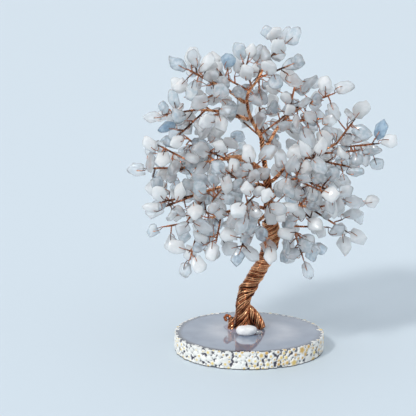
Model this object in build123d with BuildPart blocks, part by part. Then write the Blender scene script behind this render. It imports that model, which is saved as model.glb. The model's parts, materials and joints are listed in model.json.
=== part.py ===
"""Gemstone tree: drilled stone chips on twisted copper wire, rooted on a slice of agate."""

import os
import random
from math import cos, pi, radians, sin, sqrt

import numpy as np
from build123d import *

os.makedirs("parts", exist_ok=True)

# Agate slice, an uneven oval with its centre at the origin and its underside at z = 0
slice_width = 105.0
slice_depth = 87.0
slice_thickness = 12.5
slice_edge = 1.0
slice_unevenness = 0.025
slice_lobes = [(1, 1.14, pi), (2, 0.4, 2.0), (3, 0.6, 0.6)]  # count, share, start in radians
rim_biarcs = 7

# Trunk route in the plane y = trunk_y, from the slab to the crotch where the limbs begin
trunk_y = 7.0
trunk_route = [(-5, slice_thickness), (-5, 36), (11, 64), (15, 79), (13, 93)]
trunk_bends = [28, 26, 24]
trunk_core_radius = 3.7
trunk_sides = 8

# Wire wound on the trunk: steep at the foot, nearly square to the trunk at the top
winding_wire = 2.0
winding_sides = 3
winding_gap = 0.35
winding_turns = 6
winding_steepness = 0.65
winding_margin = 3.0
winding_samples = 24

# Upper trunk and leader, which carry the limbs
upper_route = [(13, 93), (11.5, 104), (12, 113), (10.5, 123)]
upper_radius = 3.2
leader_route = [(10.5, 123), (8.5, 136), (7, 149)]
leader_radius = 2.0

# Roots spread on the slab, and what holds them
root_gap = 0.3
root_thickness = 7.0
root_flank = 0.8  # size of a root's flanks, as a share of its middle
root_inset = 1.2
root_edge = [(0, 0), (0, 1), (0.38, 0.76), (0.92, 0.32), (1, 0)]  # shares of a root's reach and rise
roots = {  # direction in degrees, rise up the trunk and reach over the slab
    "root_right": (-8, 17.0, 9.5),
    "root_back": (55, 12.0, 7.5),
    "root_back_left": (120, 12.0, 7.5),
}
loop_radius = 2.6
loop_wire = 1.3
loop_stalk = 7.0
loop_shift = -2.0
puddle_size = (28.0, 23.8, 0.9)
puddle_corners = 14
puddle_lean = -0.1
puddle_bevel = 30
pebble_size = (15.0, 8.0, 6.5)
pebble_place = (-3.0, -7.5)
pebble_corners = 9
pebble_lean = 0.1
pebble_rise = radians(60)

# Wires of the crown: a limb carries sprigs, a sprig carries twigs, and a twig carries a stone
limb_radius = 1.6
limb_sides = 6
elbow_share = 0.9
sprig_reach = 1.2
sprig_sides = 4
twig_radius = 0.65
twig_length = 9.5
end_twig_length = 8.0
twig_spreads = [50, 75, 95]
twig_sides = 3
twig_setbacks = [0.12, 0.38, 0.64]
wire_gap = 0.25
fork_gap = 0.5

# Stones: drilled across, with the twig lying on the face and turning down through the hole
stone_length = (10.5, 17.5)
stone_width = (8.0, 12.0)
stone_depth = (4.6, 6.4)
stone_lean = (-0.25, 0.3)
stone_face = 0.62
stone_tilt = 20
stone_offset = 0.1
drill_clearance = 0.15
stub_length = 0.8
stone_corners = [4, 4, 5]
stone_limit = 228
stone_room = 0.4
swing_room = 3.0
roll_choices = 24
face_turns = range(0, 360, 30)
face_freedom = 0.5
probe_step = 1.0
probe_reach = 45.0
probe_start = 0.35
rim_probes = [(0.5, 0.45), (0.8, 0.26)]  # share of the way to the rim, radius as a share of the depth

# Each limb: what carries it and at which height, the points of its stem, and its sprigs. A sprig
# is a share of the stem's length and the point where its twigs part; the first carries the stem on.
limbs = {
    "crown": (
        ("leader", 149),
        [(-2, 7, 165), (-4, 7, 180), (5, 6, 190), (9, 6, 202)],
        [(1, (20, 4, 212)), (0.8, (20, 0, 198)), (0.66, (-5, 11, 198)), (0.6, (-20, 4, 192)),
         (0.72, (6, 30, 190))],
    ),
    "top_left": (
        ("crown", 175),
        [(-16, 4, 183), (-27, 2, 188)],
        [(1, (-41, 0, 196)), (0.5, (-30, -11, 180)), (0.65, (-33, 22, 190))],
    ),
    "upper_right": (
        ("leader", 145),
        [(18, 5, 158), (30, 2, 171)],
        [(1, (52, -1, 180)), (0.75, (30, 5, 190)), (0.6, (44, -13, 166)), (0.7, (42, 25, 172))],
    ),
    "upper_left": (
        ("crown", 163),
        [(-18, 3, 168), (-36, 1, 170)],
        [(1, (-56, 0, 167)), (0.75, (-44, 14, 180)), (0.45, (-28, -15, 168)),
         (0.85, (-46, -14, 158))],
    ),
    "left": (
        ("leader", 127),
        [(-6, 6, 137), (-28, 2, 134), (-46, 0, 130)],
        [(1, (-68, -2, 130)), (0.85, (-60, -10, 146)), (0.62, (-44, 14, 148)),
         (0.48, (-30, -12, 144)), (0.8, (-58, 18, 122))],
    ),
    "left_front": (
        ("upper_trunk", 117),
        [(-12, -4, 120), (-28, -12, 117), (-40, -15, 114)],
        [(1, (-58, -22, 112)), (0.75, (-42, -29, 102)), (0.55, (-26, -34, 116)),
         (0.9, (-58, -4, 104))],
    ),
    "right": (
        ("upper_trunk", 120),
        [(26, 7, 132), (42, 5, 137), (58, 4, 146)],
        [(1, (68, 4, 160)), (0.85, (83, 2, 146)), (0.55, (62, -12, 134)), (0.7, (72, 18, 138))],
    ),
    "front_right": (
        ("upper_trunk", 113),
        [(22, -4, 122), (34, -13, 126)],
        [(1, (41, -22, 143)), (0.75, (46, -27, 120)), (0.5, (24, -26, 136)),
         (0.9, (58, -20, 116))],
    ),
    "front": (
        ("upper_trunk", 109),
        [(8, -12, 114), (2, -26, 117)],
        [(1, (-7, -44, 113)), (0.7, (15, -40, 114)), (0.6, (0, -26, 138)), (0.85, (-16, -34, 134))],
    ),
    "right_low": (
        ("upper_trunk", 103),
        [(28, 4, 103), (44, 1, 102)],
        [(1, (72, 0, 106)), (0.8, (63, -6, 88)), (0.55, (40, -16, 98)), (0.6, (48, 10, 117))],
    ),
    "right_hanging": (
        ("upper_trunk", 97),
        [(24, 0, 90), (30, -3, 85)],
        [(1, (35, -6, 70)), (0.6, (34, -22, 86)), (0.65, (49, -7, 90))],
    ),
    "left_hanging": (
        ("upper_trunk", 101),
        [(-8, 2, 101), (-26, -8, 98), (-36, -12, 91)],
        [(1, (-41, -16, 73)), (0.8, (-57, -12, 92)), (0.6, (-24, -20, 84)), (0.7, (-34, 8, 98))],
    ),
    "front_low": (
        ("upper_trunk", 97),
        [(6, -8, 95), (-1, -16, 93)],
        [(1, (-7, -28, 82)), (0.6, (9, -24, 82)), (0.75, (-14, -20, 101))],
    ),
    "back_left": (
        ("upper_trunk", 111),
        [(-4, 22, 116), (-18, 36, 120)],
        [(1, (-40, 48, 124)), (0.65, (-16, 58, 110)), (0.75, (-22, 42, 142)),
         (0.5, (-36, 28, 106))],
    ),
    "back_right": (
        ("upper_trunk", 106),
        [(26, 22, 113), (38, 34, 117)],
        [(1, (60, 44, 122)), (0.65, (32, 56, 106)), (0.75, (42, 40, 140)), (0.5, (54, 26, 104))],
    ),
    "back": (
        ("leader", 132),
        [(8, 24, 144), (7, 36, 152)],
        [(1, (6, 56, 156)), (0.65, (-17, 46, 164)), (0.75, (28, 46, 160)), (0.8, (6, 42, 176))],
    ),
}


def finish(piece, name):
    """Name a piece and write it."""
    piece.label = name
    export_step(piece, f"parts/{name}.step")


def square_to(direction, roll=0.0):
    """A unit vector square to a direction, turned round it by an angle in degrees."""
    start = Vector(0, 0, 1).cross(direction)
    if start.length < 0.05:
        start = Vector(0, 1, 0)
    start = (start - direction * start.dot(direction)).normalized()
    return start.rotate(Axis((0, 0, 0), direction), roll)


def bar(points, section_plane_x, radius, sides):
    """A wire bundle of flat sides along a bent line."""
    with BuildPart() as bundle:
        with BuildLine():
            Polyline(*points)
        with BuildSketch(Plane(points[0], x_dir=section_plane_x, z_dir=points[1] - points[0])):
            RegularPolygon(radius, sides)
        sweep(transition=Transition.RIGHT)
    return bundle.part


def heading_at(place, value):
    """The direction of travel of a moving point at a value."""
    step = 0.01
    return (place(value + step) - place(value - step)).normalized()


def biarc(place, low, high):
    """Two arcs along the path of a moving point from one value to another."""
    start, start_heading = place(low), heading_at(place, low)
    end, end_heading = place(high), heading_at(place, high)
    chord = end - start
    bend = 2 * (1 - start_heading.dot(end_heading))
    lean = chord.dot(start_heading + end_heading)
    reach = (sqrt(lean**2 + bend * chord.dot(chord)) - lean) / bend
    first = start + start_heading * reach
    last = end - end_heading * reach
    middle = (first + last) * 0.5
    TangentArc(start, middle, tangent=start_heading)
    TangentArc(middle, end, tangent=last - first)


# Agate slice
def rim_point(share):
    """A point of the slab's uneven oval rim, at a share of the way round."""
    angle = 2 * pi * share
    swell = 1 + slice_unevenness * sum(part * cos(n * angle + start) for n, part, start in slice_lobes)
    return Vector(slice_width / 2 * swell * cos(angle), slice_depth / 2 * swell * sin(angle))


with BuildPart() as agate_slice:
    with BuildSketch():
        with BuildLine():
            for i in range(rim_biarcs):
                biarc(rim_point, i / rim_biarcs, (i + 1) / rim_biarcs)
        make_face()
    extrude(amount=slice_thickness)
    chamfer(agate_slice.edges().group_by(Axis.Z)[-1], length=slice_edge)
    chamfer(agate_slice.edges().group_by(Axis.Z)[0], length=slice_edge)
finish(agate_slice.part, "agate_slice")


# Trunk core, a bundle that leans and bends in one plane
def in_trunk_plane(x, z):
    """A point of the trunk's plane."""
    return Vector(x, trunk_y, z)


with BuildPart() as trunk_core:
    with BuildLine() as trunk_line:
        FilletPolyline(*[in_trunk_plane(x, z) for x, z in trunk_route], radius=trunk_bends)
    trunk_axis = trunk_line.wire()
    with BuildSketch(Plane(trunk_axis @ 0, x_dir=(0, 1, 0), z_dir=trunk_axis % 0)):
        RegularPolygon(trunk_core_radius, trunk_sides, rotation=180 / trunk_sides)
    sweep()
finish(trunk_core.part, "trunk_core")


# Trunk winding, one wire from the foot to the crotch
winding_radius = trunk_core_radius + winding_gap + winding_wire / 2
trunk_length = trunk_axis.length
winding_start = winding_margin / trunk_length
winding_reach = 1 - 2 * winding_start


def winding_point(turn):
    """Where the wire is after a number of turns, which come closer together towards the top."""
    share = turn / winding_turns
    share += winding_steepness * share * (1 - share)
    along = winding_start + winding_reach * share
    ahead = trunk_axis % along
    across = ahead.cross(Vector(0, 1, 0))
    angle = 2 * pi * turn
    middle = trunk_axis @ along
    return middle + (across * cos(angle) + Vector(0, 1, 0) * sin(angle)) * winding_radius


with BuildPart() as trunk_winding:
    foot, foot_heading = winding_point(0), heading_at(winding_point, 0)
    top, top_heading = winding_point(winding_turns), heading_at(winding_point, winding_turns)
    with BuildLine():
        Line(foot - foot_heading * winding_wire, foot)
        for half in range(2 * winding_turns):
            biarc(winding_point, half / 2, (half + 1) / 2)
        Line(top, top + top_heading * winding_wire)
    with BuildSketch(Plane(foot - foot_heading * winding_wire, z_dir=foot_heading)):
        RegularPolygon(winding_wire / 2, winding_sides)
    sweep()
finish(trunk_winding.part, "trunk_winding")

probes = range(winding_samples * winding_turns + 1)
wire_points = np.array([tuple(winding_point(i / winding_samples)) for i in probes])
spans = np.linalg.norm(wire_points[:, None] - wire_points[None], axis=2)
far_apart = np.triu(np.ones(spans.shape, bool), winding_samples // 2)
print("winding: turns", winding_turns, "least gap", spans[far_apart].min() - winding_wire)


def clear_start(radius, reach, angle):
    """How far from a bundle's middle line a wire that leaves at an angle starts."""
    return (radius + wire_gap + reach * abs(cos(angle))) / sin(angle)


def clear_end(reach, angle):
    """How far past a bundle's end a wire that goes on at an angle starts."""
    return (wire_gap + reach * sin(angle)) / cos(angle)


# Upper trunk and leader
carriers = {}
below = trunk_axis % 1
for name, route, radius in (
    ("upper_trunk", upper_route, upper_radius),
    ("leader", leader_route, leader_radius),
):
    line = [in_trunk_plane(x, z) for x, z in route]
    ahead = (line[1] - line[0]).normalized()
    line[0] += ahead * clear_end(radius, radians(ahead.get_angle(below)))
    below = line[-1] - line[-2]
    carriers[name] = (line, radius)
    finish(bar(line, (0, 1, 0), radius, trunk_sides), name)

# Roots: wires that leave the trunk and spread out to the slab, filling the corner between them
foot_middle = Vector(trunk_route[0][0], trunk_y, slice_thickness)
foot_clear = winding_radius + winding_wire / 2 + root_gap


def spread_root(angle, rise, reach):
    """A root that stands against the trunk, swells outwards and thins to both sides."""
    out = Vector(cos(radians(angle)), sin(radians(angle)), 0)
    upright = Plane(foot_middle + out * foot_clear, x_dir=out, z_dir=out.cross(Vector(0, 0, 1)))
    flank = root_thickness / 2
    layers = ((-flank, root_flank, root_inset), (0, 1, 0), (flank, root_flank, root_inset))
    with BuildPart(upright) as root:
        ConvexPolyhedron([
            (inset + reach * share * along, rise * share * up, side)
            for side, share, inset in layers
            for along, up in root_edge
        ])
    return root.part


root_parts = []
for name, sizes in roots.items():
    root_parts.append(spread_root(*sizes))
    finish(root_parts[-1], name)

loop_foot = foot_middle + Vector(-foot_clear - loop_wire, loop_shift, 0)
with BuildPart() as root_left_loop:
    with BuildLine():
        stalk = Line(loop_foot, loop_foot + Vector(0, 0, loop_stalk))
        curl = TangentArc(stalk @ 1, stalk @ 1 + Vector(-2 * loop_radius, 0, 0), tangent=stalk % 1)
        TangentArc(curl @ 1, curl @ 1 + Vector(loop_radius, 0, -loop_radius), tangent=curl % 1)
    with BuildSketch(Plane(loop_foot)):
        RegularPolygon(loop_wire, sprig_sides)
    sweep()
root_parts.append(root_left_loop.part)
finish(root_left_loop.part, "root_left_loop")


# White pebble and the puddle of glue that the foot, the roots and the pebble stand in
def egg(length, width, corners, lean, turn=0.0):
    """Corners of a rounded, slightly pear-shaped outline."""
    angles = [2 * pi * (i + turn) / corners for i in range(corners)]
    return [
        (length / 2 * cos(a), width / 2 * sin(a) * (1 - lean * cos(a)))
        for a in angles
    ]


pebble_middle = Vector(*pebble_place, slice_thickness + pebble_size[2] / 2)
pebble_rim = egg(pebble_size[0], pebble_size[1], pebble_corners, pebble_lean)
with BuildPart(Plane(pebble_middle)) as white_pebble:
    ConvexPolyhedron([
        (x * cos(lift), y * cos(lift), pebble_size[2] / 2 * sin(lift) / sin(pebble_rise))
        for lift in (-pebble_rise, -pebble_rise / 2, 0, pebble_rise / 2, pebble_rise)
        for x, y in pebble_rim
    ])
finish(white_pebble.part, "white_pebble")

with BuildPart() as glue_puddle:
    with BuildSketch(Plane(foot_middle)):
        Polygon(*egg(puddle_size[0], puddle_size[1], puddle_corners, puddle_lean), align=None)
    extrude(amount=puddle_size[2], taper=puddle_bevel)
    for sunk in (trunk_core.part, trunk_winding.part, white_pebble.part, *root_parts):
        add(sunk, mode=Mode.SUBTRACT)
finish(glue_puddle.part, "glue_puddle")


# Crown: where every wire and stone goes, worked out before any is made
tilt = radians(stone_tilt)
draw = random.Random(5)
taken = []


def point_at_height(route, height):
    """The point of a rising route at a height."""
    for low, high in zip(route, route[1:]):
        if height <= high.Z:
            return low + (high - low) * ((height - low.Z) / (high.Z - low.Z))
    return route[-1]


def point_at_share(route, share):
    """The point at a share of a route's length, and the route's direction there."""
    left = share * sum((b - a).length for a, b in zip(route, route[1:]))
    for low, high in zip(route, route[1:]):
        span = (high - low).length
        if left <= span + 1e-6:
            return low + (high - low) * (left / span), (high - low).normalized()
        left -= span


def beads(points, radius):
    """Spheres along a bent wire, as rows of a middle point and a radius."""
    rows = []
    for low, high in zip(points, points[1:]):
        count = int((high - low).length / probe_step) + 2
        rows += [(*(low + (high - low) * (i / (count - 1))), radius) for i in range(count)]
    return rows


def take(name, rows):
    """Note the room that a limb's spheres fill."""
    taken.extend((*row, number_of[name]) for row in rows)


class Stone:
    """A stone on its twig: the twig's bent line, and the stone's seat, sizes and outline."""

    def __init__(self, root, heading, face, reach, cut):
        self.seat = (root, heading, face, reach, cut)
        self.length, self.width, self.depth, self.corners, self.lean, self.turn = cut
        self.normal = face * cos(tilt) - heading * sin(tilt)
        self.along = heading * cos(tilt) + face * sin(tilt)
        self.side = heading.cross(face)
        bend = root + heading * reach
        self.middle = bend - self.normal * (self.depth / 2 + 2 * twig_radius)
        tip = self.middle - self.normal * (self.depth / 2 + stub_length)
        self.twig = [root, bend, tip]

    def turned(self, angle):
        """The same stone, turned round its twig by an angle in degrees."""
        root, heading, face, reach, cut = self.seat
        return Stone(root, heading, face.rotate(Axis((0, 0, 0), heading), angle), reach, cut)

    def rim(self):
        """The corners of the outline, in the stone's own plane."""
        shift = stone_offset * self.length
        outline = egg(self.length, self.width, self.corners, self.lean, self.turn)
        return [(x + shift, y) for x, y in outline]

    def spheres(self):
        """Spheres that fill the stone and its twig."""
        root, bend, tip = self.twig
        rows = beads([root + (bend - root) * probe_start, bend, tip], twig_radius)
        for x, y in self.rim():
            out = self.along * x - self.side * y
            rows += [(*(self.middle + out * way), share * self.depth) for way, share in rim_probes]
        return rows


def draw_cut():
    """Sizes and outline of one stone."""
    sizes = [draw.uniform(*limits) for limits in (stone_length, stone_width, stone_depth)]
    return (*sizes, draw.choice(stone_corners), draw.uniform(*stone_lean), draw.random())


def least_cut(cut):
    """The same outline at the least sizes, for places with little room."""
    return (stone_length[0], stone_width[0], stone_depth[0], *cut[3:])


def end_stones(start, end, cut):
    """The ways to set a stone on a sprig's end."""
    ahead = (end - start).normalized()
    for i in range(roll_choices):
        face = square_to(ahead, 360 * i / roll_choices)
        yield Stone(end + ahead * wire_gap, ahead, face, end_twig_length, cut)


def side_stones(start, end, setback, cut):
    """The ways to set a stone on a twig at a sprig's side."""
    ahead = (end - start).normalized()
    for spread in map(radians, twig_spreads):
        for i in range(roll_choices):
            out = square_to(ahead, 360 * i / roll_choices)
            lean = ahead * cos(spread) + out * sin(spread)
            face = ahead * sin(spread) - out * cos(spread)
            root = end + (start - end) * setback + lean * clear_start(sprig_reach, twig_radius, spread)
            yield Stone(root, lean, face, twig_length, cut)


def roomiest(name, end, choices):
    """The way to set a stone that has most room, counting the room that other limbs swing in.

    The stone is then turned round its twig to show its broad face to the front or back.
    """
    others = np.array(taken)
    near = np.linalg.norm(others[:, :3] - np.array(tuple(end)), axis=1) < probe_reach
    others = others[near]
    pivot = np.array(tuple(stems[name][0]))

    def room(stone):
        mine = np.array(stone.spheres())
        gaps = np.linalg.norm(mine[:, None, :3] - others[None, :, :3], axis=2)
        gaps -= mine[:, None, 3] + others[None, :, 3]
        swing = np.linalg.norm(mine[:, :3] - pivot, axis=1) * radians(swing_room)
        gaps -= np.where(others[None, :, 4] == number_of[name], 0, swing[:, None])
        return gaps.min()

    best = max(choices, key=room)
    ways = [way for way in map(best.turned, face_turns) if room(way) > stone_room]
    return max(ways, key=lambda way: abs(way.normal.Y) + draw.uniform(0, face_freedom), default=None)


stems = {}
sprigs = {}
forks = {}
number_of = {name: number for number, name in enumerate(("trunk", *limbs))}
take("trunk", beads([in_trunk_plane(x, z) for x, z in trunk_route], winding_radius + winding_wire / 2))
for route, radius in carriers.values():
    take("trunk", beads(route, radius))
for name, (carried, points, ends) in limbs.items():
    points = [Vector(*point) for point in points]
    route, radius = carriers[carried[0]]
    middle = point_at_height(route, carried[1])
    out = Vector(points[0].X - middle.X, points[0].Y - middle.Y, 0).normalized()
    if name == "crown":
        heading = (points[0] - middle).normalized()
        start = middle + heading * clear_end(limb_radius, radians(heading.get_angle(below)))
    else:
        start = middle + out * (radius + fork_gap + limb_radius)
        forks[name] = (start, out.cross(Vector(0, 0, 1)))
    stems[name] = [start, *points]
    carriers[name] = (stems[name], limb_radius)
    take(name, beads(stems[name], limb_radius))
    sprigs[name] = []
    for share, end in ends:
        place, ahead = point_at_share(stems[name], share)
        heading = (Vector(*end) - place).normalized()
        turn = radians(heading.get_angle(ahead))
        lead = clear_end(sprig_reach, turn) if share == 1 else clear_start(limb_radius, sprig_reach, turn)
        sprigs[name].append((place + heading * lead, Vector(*end)))
        take(name, beads(sprigs[name][-1], sprig_reach))

stones = {name: [] for name in limbs}
for setback in (None, *twig_setbacks):
    for name in limbs:
        for start, end in sprigs[name]:
            cut = draw_cut()
            stone = None
            for sizes in (cut, least_cut(cut)):
                if setback is None:
                    ways = end_stones(start, end, sizes)
                else:
                    ways = side_stones(start, end, setback, sizes)
                stone = stone or roomiest(name, end, ways)
            if stone and sum(map(len, stones.values())) < stone_limit:
                stones[name].append(stone)
                take(name, stone.spheres())


# Crown: the wires and the stones themselves
def drilled(stone):
    """A bevelled stone with a hole through its middle for its twig."""
    rings = ((stone_face, -stone.depth / 2), (1, 0), (stone_face, stone.depth / 2))
    with BuildPart(Plane(stone.middle, x_dir=stone.along, z_dir=stone.normal)) as chip:
        ConvexPolyhedron([(x * share, y * share, z) for share, z in rings for x, y in stone.rim()])
        with BuildSketch(Plane(stone.middle, x_dir=stone.side, z_dir=stone.normal * -1)):
            RegularPolygon(twig_radius + 2 * drill_clearance, twig_sides)
        extrude(amount=stone.depth, both=True, mode=Mode.SUBTRACT)
    return chip.part


def limb_stem(name):
    """A limb's bundle, with an elbow where it bends at its fork."""
    points = stems[name]
    ahead = (points[1] - points[0]).normalized()
    bundle = bar(points, square_to(ahead), limb_radius, limb_sides)
    if name not in forks:
        return bundle
    pivot, axis = forks[name]
    with BuildPart() as stem:
        add(bundle)
        with BuildSketch(Plane(pivot, z_dir=axis)):
            RegularPolygon(limb_radius, trunk_sides)
        extrude(amount=elbow_share * limb_radius, both=True)
    return stem.part


for name in limbs:
    finish(limb_stem(name), f"{name}_limb_stem")
    wires = []
    for start, end in sprigs[name]:
        side = square_to((end - start).normalized())
        wires.append(bar([start, end], side, sprig_reach, sprig_sides))
    wires += [bar(stone.twig, stone.side, twig_radius, twig_sides) for stone in stones[name]]
    finish(Compound(children=wires), f"{name}_limb_twigs")
    finish(Compound(children=[drilled(stone) for stone in stones[name]]), f"{name}_limb_stones")

print("stones", sum(len(group) for group in stones.values()))
for name, (pivot, axis) in forks.items():
    print("fork", name, *(round(v, 4) for v in (*pivot, *axis)))
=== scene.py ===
# %% [markdown]
# # A gemstone tree, dressed around its CAD frame
# The tree is hand work: stone chips threaded on copper wire, the wire twisted into twigs, the twigs
# into sprigs and limbs, and the limbs into one trunk that stands on a slice of agate. The CAD part
# gives every place and size. This script reads the CAD meshes and builds the real surfaces there.

# %% Load the frame
import json
import math
import random

import bpy
import numpy as np
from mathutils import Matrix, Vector, noise


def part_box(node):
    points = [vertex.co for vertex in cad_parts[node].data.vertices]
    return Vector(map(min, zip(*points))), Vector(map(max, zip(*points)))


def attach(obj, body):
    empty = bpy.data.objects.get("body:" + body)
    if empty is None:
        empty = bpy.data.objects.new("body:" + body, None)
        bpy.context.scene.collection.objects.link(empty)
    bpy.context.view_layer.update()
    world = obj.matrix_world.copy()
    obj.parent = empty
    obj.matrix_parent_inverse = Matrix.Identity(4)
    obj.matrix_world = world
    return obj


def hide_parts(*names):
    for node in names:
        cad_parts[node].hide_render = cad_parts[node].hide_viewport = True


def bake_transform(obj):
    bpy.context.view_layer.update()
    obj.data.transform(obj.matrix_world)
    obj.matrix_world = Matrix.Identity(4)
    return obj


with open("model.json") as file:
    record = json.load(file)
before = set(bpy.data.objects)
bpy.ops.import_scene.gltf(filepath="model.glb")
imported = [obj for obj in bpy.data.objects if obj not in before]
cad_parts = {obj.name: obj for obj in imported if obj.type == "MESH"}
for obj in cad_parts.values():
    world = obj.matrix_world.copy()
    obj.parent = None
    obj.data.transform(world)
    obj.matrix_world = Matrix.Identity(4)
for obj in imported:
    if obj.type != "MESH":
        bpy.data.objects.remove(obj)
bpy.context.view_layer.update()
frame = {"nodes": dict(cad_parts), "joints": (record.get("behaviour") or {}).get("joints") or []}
MM = 0.001
FULL_TURN = 2 * math.pi
chance = random.Random(11)

# %% [markdown]
# ## Stage
# The photograph looks a little down on the tree from the front, through a long lens. The camera's
# place and tilt were worked out from it, so they are set as plain numbers.
# A wide pale floor fills the view. The light comes from the left front and falls to the right and
# back, as the shadows in the photograph do. A sun lamp is used for it, because a sun lights the whole
# floor evenly, and its angle makes the shadows as soft as wanted. The world is a pale room that is a
# little brighter towards the light, so that the wire has something light and dark to reflect.


# %% Camera, floor and light
def tone(red, green, blue):
    """A colour as a picture shows it, 0 to 255, turned into the linear values that shaders use."""
    def linear(value):
        share = value / 255
        return share / 12.92 if share <= 0.04045 else ((share + 0.055) / 1.055) ** 2.4
    return (linear(red), linear(green), linear(blue), 1.0)


scene = bpy.context.scene
scene.view_settings.view_transform = "Standard"
lens = bpy.data.cameras.new("camera")
lens.sensor_width = 36
lens.lens = 114.6
lens.clip_end = 50
camera_tilt = math.radians(90 - 14)
camera = bpy.data.objects.new("camera", lens)
camera.location = (-29.6 * MM, -882 * MM, 321.6 * MM)
camera.rotation_euler = (camera_tilt, 0, 0)
scene.collection.objects.link(camera)
scene.camera = camera

floor_half = 9.0
floor_mesh = bpy.data.meshes.new("floor")
corners = [(-floor_half, -floor_half, 0), (floor_half, -floor_half, 0)]
corners += [(floor_half, floor_half, 0), (-floor_half, floor_half, 0)]
floor_mesh.from_pydata(corners, [], [(0, 1, 2, 3)])
floor = bpy.data.objects.new("floor", floor_mesh)
scene.collection.objects.link(floor)
floor_paint = bpy.data.materials.new("pale_floor")
floor_paint.use_nodes = True
paint = floor_paint.node_tree.nodes["Principled BSDF"]
paint.inputs["Base Color"].default_value = tone(209, 220, 228)
paint.inputs["Roughness"].default_value = 0.55
floor_mesh.materials.append(floor_paint)

sun_from = Vector((-0.50, -0.55, 0.67)).normalized()
lamp = bpy.data.lights.new("daylight", "SUN")
lamp.energy = 1.45
lamp.angle = math.radians(9)
lamp.color = (1.0, 0.985, 0.96)
daylight = bpy.data.objects.new("daylight", lamp)
daylight.rotation_euler = (-sun_from).to_track_quat("-Z", "Y").to_euler()
scene.collection.objects.link(daylight)

sky = bpy.data.worlds.new("pale_room")
scene.world = sky
sky.use_nodes = True
room, wires = sky.node_tree.nodes, sky.node_tree.links
looking = room.new("ShaderNodeTexCoord")
towards = room.new("ShaderNodeVectorMath")
towards.operation = "DOT_PRODUCT"
towards.inputs[1].default_value = sun_from
brighter = room.new("ShaderNodeMapRange")
brighter.inputs["From Min"].default_value = -1
brighter.inputs["To Min"].default_value = 0.66
brighter.inputs["To Max"].default_value = 0.96
wires.new(looking.outputs["Generated"], towards.inputs[0])
wires.new(towards.outputs["Value"], brighter.inputs["Value"])
wires.new(brighter.outputs["Result"], room["Background"].inputs["Strength"])
room["Background"].inputs["Color"].default_value = tone(238, 244, 250)
print("camera", tuple(round(v, 4) for v in camera.location), "lens", lens.lens)

# %% [markdown]
# ## Finishes
# Copper wire is bright where it is fresh and brown where it has dulled, so one noise pattern mixes
# two coppers and a second one changes the gloss. Some strands of a rope are of a duller copper. The
# chips are pale tumbled stone, part clear and part milky: light goes through them, but clouds in the
# stone scatter some of it. Five sorts of chip give the mix of white, grey-blue and the few strong blue
# ones, and a tint kept at the points of each chip makes no two of them the same.


# %% Helpers for finishes
def new_finish(name):
    """A material with its node tree and its main shader."""
    finish = bpy.data.materials.new(name)
    finish.use_nodes = True
    return finish, finish.node_tree.nodes, finish.node_tree.links, finish.node_tree.nodes["Principled BSDF"]


def speckle(nodes, links, scale, detail):
    """A noise pattern in the object's own space, and its strength as a socket."""
    place = nodes.new("ShaderNodeTexCoord")
    grain = nodes.new("ShaderNodeTexNoise")
    grain.inputs["Scale"].default_value = scale
    grain.inputs["Detail"].default_value = detail
    links.new(place.outputs["Object"], grain.inputs["Vector"])
    return grain.outputs["Fac"]


def ramp(nodes, links, strength, stops):
    """Colours along a pattern's strength."""
    scale = nodes.new("ShaderNodeValToRGB")
    bar = scale.color_ramp
    bar.elements[0].position, bar.elements[0].color = stops[0]
    bar.elements[1].position, bar.elements[1].color = stops[-1]
    for place, colour in stops[1:-1]:
        bar.elements.new(place).color = colour
    links.new(strength, scale.inputs["Fac"])
    return scale.outputs["Color"]


def rough_skin(nodes, links, shader, strength, height, distance):
    """A fine relief on a surface."""
    relief = nodes.new("ShaderNodeBump")
    relief.inputs["Strength"].default_value = height
    relief.inputs["Distance"].default_value = distance
    links.new(strength, relief.inputs["Height"])
    links.new(relief.outputs["Normal"], shader.inputs["Normal"])


def kept_colour(nodes, layer_name):
    """The colours that are kept at the points of a mesh."""
    kept = nodes.new("ShaderNodeVertexColor")
    kept.layer_name = layer_name
    return kept.outputs["Color"]


def tinted(nodes, links, pattern, layer_name):
    """A pattern's colours multiplied by the kept ones."""
    product = nodes.new("ShaderNodeMix")
    product.data_type = "RGBA"
    product.blend_type = "MULTIPLY"
    product.inputs["Factor"].default_value = 1.0
    links.new(pattern, product.inputs["A"])
    links.new(kept_colour(nodes, layer_name), product.inputs["B"])
    return product.outputs["Result"]


def even(shader, values):
    """Set what is the same all over a surface, straight on the shader's sockets."""
    for socket, value in values.items():
        shader.inputs[socket].default_value = value


# %% Copper and stone finishes
def copper(name, bright, dull, dulled=0.45):
    """Drawn copper wire, bright and dulled in patches; dulled moves the share of each."""
    finish, nodes, links, shader = new_finish(name)
    patches = speckle(nodes, links, 140, 4)
    stops = [(dulled - 0.11, dull), (dulled + 0.11, bright)]
    links.new(ramp(nodes, links, patches, stops), shader.inputs["Base Color"])
    gloss_stops = [(0.3, (0.16, 0.16, 0.16, 1)), (0.7, (0.36, 0.36, 0.36, 1))]
    links.new(ramp(nodes, links, speckle(nodes, links, 420, 2), gloss_stops), shader.inputs["Roughness"])
    even(shader, {"Metallic": 1.0})
    return finish


def chip_stone(name, clear, cloud, transmission, roughness):
    """Tumbled stone that is part clear and part clouded, with a tint that each chip brings itself."""
    finish, nodes, links, shader = new_finish(name)
    clouds = ramp(nodes, links, speckle(nodes, links, 300, 7), [(0.4, clear), (0.6, cloud)])
    links.new(tinted(nodes, links, clouds, "chip_tint"), shader.inputs["Base Color"])
    even(shader, {"Transmission Weight": transmission, "Roughness": roughness, "IOR": 1.28})
    even(shader, {"Subsurface Weight": 1.0, "Subsurface Radius": (1.0, 1.0, 1.0), "Subsurface Scale": 0.006})
    even(shader, {"Coat Weight": 0.8, "Coat Roughness": 0.04})
    rough_skin(nodes, links, shader, speckle(nodes, links, 700, 4), 0.25, 0.0008)
    return finish


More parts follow.
